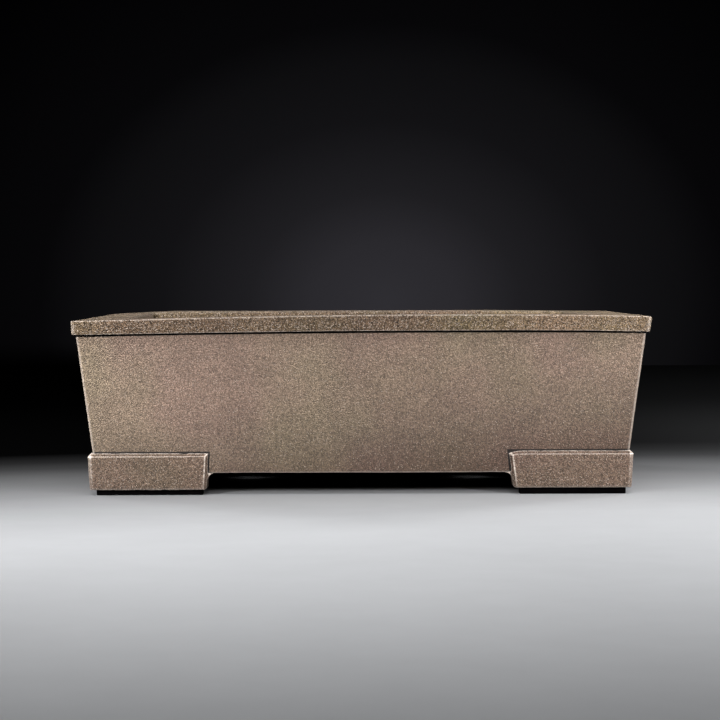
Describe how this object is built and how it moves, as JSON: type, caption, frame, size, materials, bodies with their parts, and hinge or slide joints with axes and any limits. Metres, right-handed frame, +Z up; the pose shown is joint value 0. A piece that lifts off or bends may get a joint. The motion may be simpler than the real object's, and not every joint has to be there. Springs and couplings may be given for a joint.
{
  "type": "bonsai pot",
  "caption": "Rectangular slab-built bonsai pot with a flat overhanging rim, gently leaning walls, mitred corner feet on thin pads, and drain and wire holes in the floor.",
  "frame": {"origin": "centre of the footprint on the surface the pot stands on", "axes": "+X along the long sides, -Y to the front, +Z up"},
  "size_m": [0.3598, 0.2518, 0.1124],
  "materials": {
    "clay": "matt unglazed stoneware with fine speckle",
    "pad": "matt black"
  },
  "bodies": {
    "root": {"back_floor_coil": "clay", "back_left_corner_coil": "clay", "back_left_foot_long_plate": "clay", "back_left_foot_short_plate": "clay", "back_left_pad": "pad", "back_right_corner_coil": "clay", "back_right_foot_long_plate": "clay", "back_right_foot_short_plate": "clay", "back_right_pad": "pad", "back_rim_strip": "clay", "back_wall": "clay", "floor_slab": "clay", "front_floor_coil": "clay", "front_left_corner_coil": "clay", "front_left_foot_long_plate": "clay", "front_left_foot_short_plate": "clay", "front_left_pad": "pad", "front_right_corner_coil": "clay", "front_right_foot_long_plate": "clay", "front_right_foot_short_plate": "clay", "front_right_pad": "pad", "front_rim_strip": "clay", "front_wall": "clay", "left_floor_coil": "clay", "left_rim_strip": "clay", "left_wall": "clay", "right_floor_coil": "clay", "right_rim_strip": "clay", "right_wall": "clay"}
  },
  "joints": []
}
